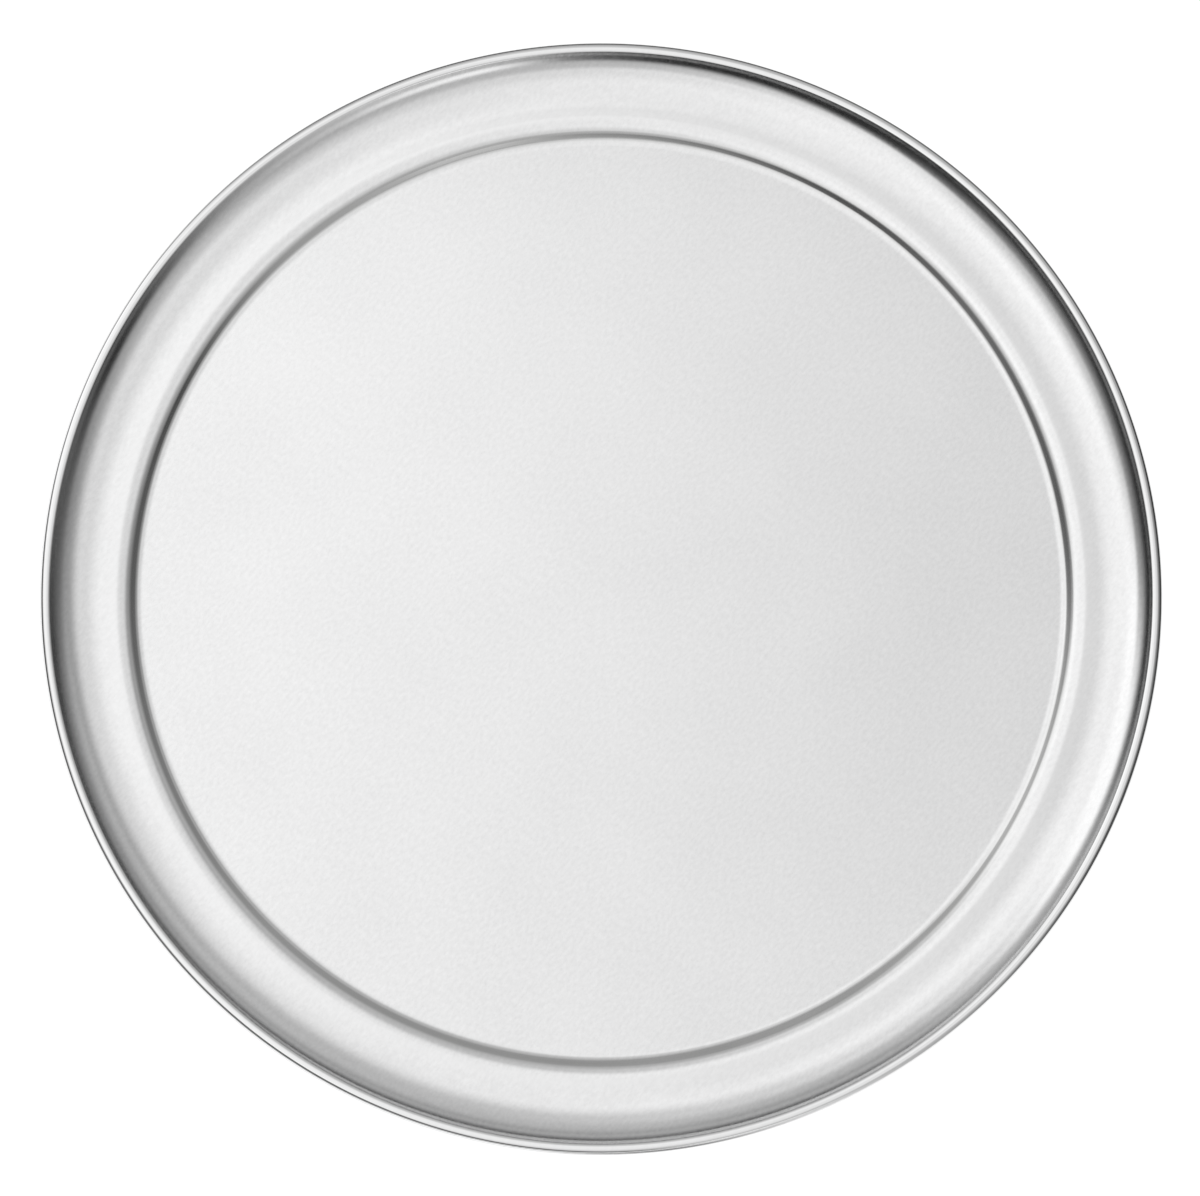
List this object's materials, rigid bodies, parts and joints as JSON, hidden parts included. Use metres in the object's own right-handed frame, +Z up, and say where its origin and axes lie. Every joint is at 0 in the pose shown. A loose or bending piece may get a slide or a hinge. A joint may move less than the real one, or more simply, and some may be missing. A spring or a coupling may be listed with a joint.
{
  "type": "wide rim pizza pan",
  "caption": "Round shallow baking pan pressed from one sheet of aluminium, with a flat floor, a low step, a wide raised rim and a rolled bead round a hidden wire hoop.",
  "frame": {"origin": "centre of the underside of the floor, on the surface that the pan stands on", "axes": "+Z up, along the pan's axis; +X to the right and +Y to the top of the picture"},
  "size_m": [0.3555, 0.3556, 0.0127],
  "materials": {
    "satin_aluminium": "satin mill finish with a fine mottled grain and faint turning lines round the rim",
    "steel_wire": "plain drawn steel wire"
  },
  "bodies": {
    "root": {"pan_body": "satin_aluminium", "bead_wire": "steel_wire"}
  },
  "joints": []
}
